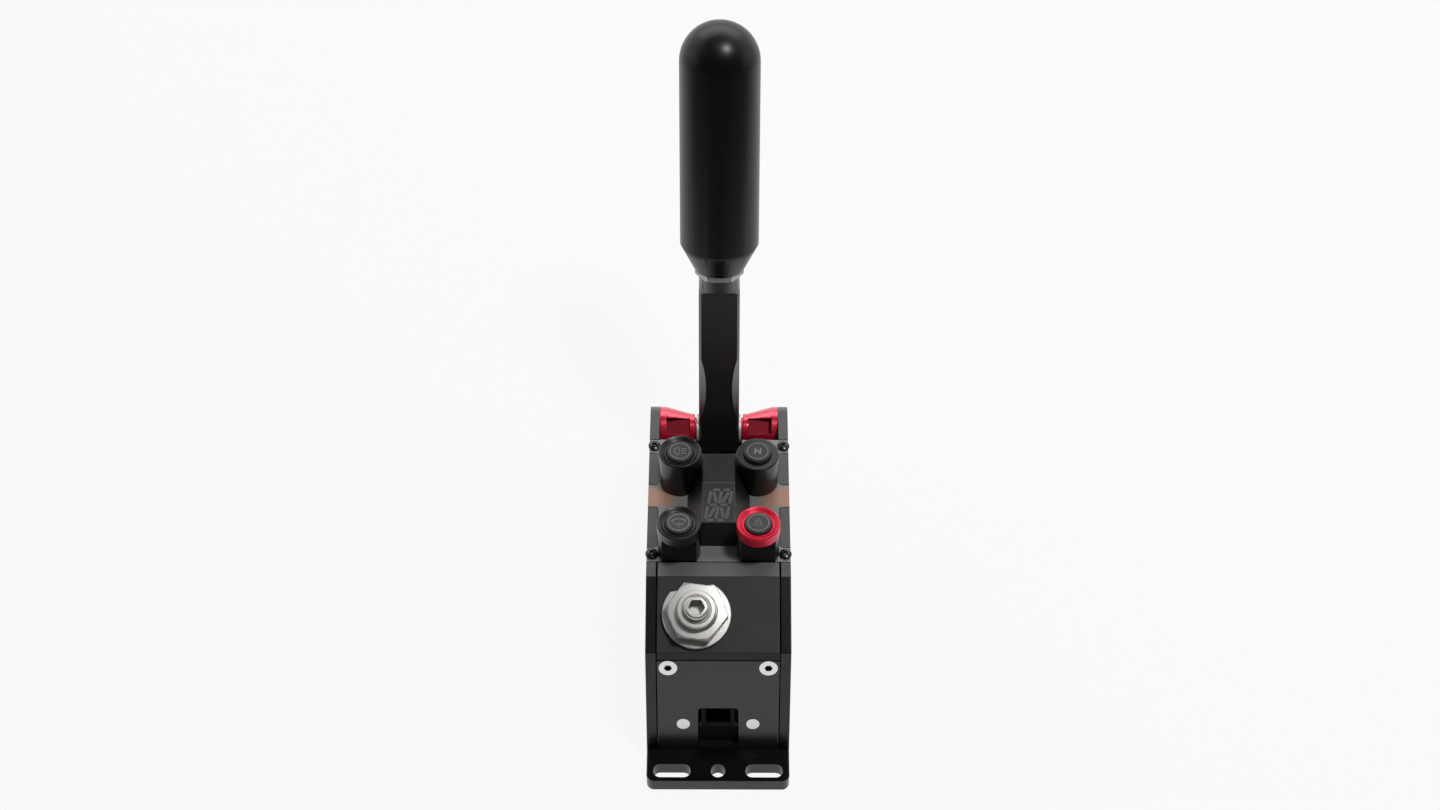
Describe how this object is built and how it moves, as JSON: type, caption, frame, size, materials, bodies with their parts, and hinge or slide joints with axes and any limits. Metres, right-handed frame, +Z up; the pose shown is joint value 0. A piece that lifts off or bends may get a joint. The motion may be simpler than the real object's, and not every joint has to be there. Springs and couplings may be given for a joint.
{
  "type": "sequential gear shifter",
  "caption": "Low sim racing shifter: sprung lever with a long cylindrical handle, push buttons, gear display, spring preload nut and a slotted base.",
  "frame": {"origin": "middle of the base plate's underside", "axes": "+Z up, +Y away from the driver along the base, +X to the driver's right"},
  "size_m": [0.064, 0.2504, 0.2353],
  "materials": {
    "black_anodised": "fine satin black anodised",
    "lever_black": "satin black anodised, machined",
    "cover_black": "satin black",
    "bezel_black": "satin black",
    "bezel_red": "satin red",
    "cap_grey": "satin grey",
    "smoked_display": "smoked, glossy",
    "display_black": "matt black",
    "circuit_green": "green circuit board",
    "port_grey": "matt dark grey",
    "red_anodised": "satin red anodised",
    "steel": "zinc plated or ground steel",
    "black_steel": "black oxide steel",
    "spring_steel": "drawn spring wire",
    "handle_black": "satin black, turned",
    "nylon": "natural nylon"
  },
  "bodies": {
    "housing": {"base_plate": "black_anodised", "left_side_plate": "black_anodised", "right_side_plate": "black_anodised", "front_block": "black_anodised", "front_plate": "black_anodised", "rear_plate": "black_anodised", "top_cover": "cover_black", "port_block": "cover_black", "data_port": "port_grey", "port_board": "circuit_green", "display_housing": "smoked_display", "display_module": "display_black", "control_board": "circuit_green", "button_switches": "display_black", "rear_left_bezel": "bezel_black", "rear_right_bezel": "bezel_black", "front_left_bezel": "bezel_black", "front_right_bezel": "bezel_red", "left_bearing_seat": "red_anodised", "right_bearing_seat": "red_anodised", "bearing_outer_rings": "steel", "sensor_board": "circuit_green", "sensor_bracket": "cover_black", "preload_washer": "steel", "upper_spring": "spring_steel", "cover_screws": "black_steel", "board_screws": "steel", "front_plate_screws": "steel", "front_dowels": "steel", "side_screws": "black_steel", "base_screws": "black_steel"},
    "lever": {"lever_bar": "lever_black", "rocker_arm": "lever_black", "arm_screws": "black_steel", "sensor_magnet": "steel", "pivot_axle": "steel", "thrust_washers": "steel", "bearing_inner_rings": "steel", "jam_nut": "steel", "handle_stud": "steel", "handle_grip": "handle_black"},
    "rear_left_key": {"rear_left_button": "cap_grey"},
    "rear_right_key": {"rear_right_button": "cap_grey"},
    "front_left_key": {"front_left_button": "cap_grey"},
    "front_right_key": {"front_right_button": "cap_grey"},
    "nut": {"preload_nut": "steel", "nut_insert": "nylon"},
    "rod": {"preload_rod": "steel", "rod_seat": "steel", "rod_lock_nut": "steel", "lower_spring": "spring_steel"}
  },
  "joints": [
    {"name": "lever_shift", "type": "hinge", "parent": "housing", "child": "lever", "pos_m": [0, 0.06306, 0.05369], "axis": [1, 0, 0], "range_deg": [-3, 3], "stiffness_Nm_per_rad": 60, "deforming": ["upper_spring", "lower_spring"]},
    {"name": "rear_left_press", "type": "slide", "parent": "housing", "child": "rear_left_key", "axis": [0, -0.0872, -0.9962], "range_m": [0, 0.0016], "stiffness_N_per_m": 800},
    {"name": "rear_right_press", "type": "slide", "parent": "housing", "child": "rear_right_key", "axis": [0, -0.0872, -0.9962], "range_m": [0, 0.0016], "stiffness_N_per_m": 800},
    {"name": "front_left_press", "type": "slide", "parent": "housing", "child": "front_left_key", "axis": [0, -0.0872, -0.9962], "range_m": [0, 0.0016], "stiffness_N_per_m": 800},
    {"name": "front_right_press", "type": "slide", "parent": "housing", "child": "front_right_key", "axis": [0, -0.0872, -0.9962], "range_m": [0, 0.0016], "stiffness_N_per_m": 800},
    {"name": "preload_turn", "type": "hinge", "parent": "housing", "child": "nut", "pos_m": [-0.0094, -0.04567, 0.06623], "axis": [0, 0.342, -0.9397], "range_deg": [0, 360]},
    {"name": "preload_draw", "type": "slide", "parent": "housing", "child": "rod", "axis": [0, -0.342, 0.9397], "range_m": [0, 0.00175], "deforming": ["lower_spring"]}
  ],
  "couplings": [
    {"joint": "preload_turn", "follows": "preload_draw", "rad_per_m": 3590.4}
  ]
}
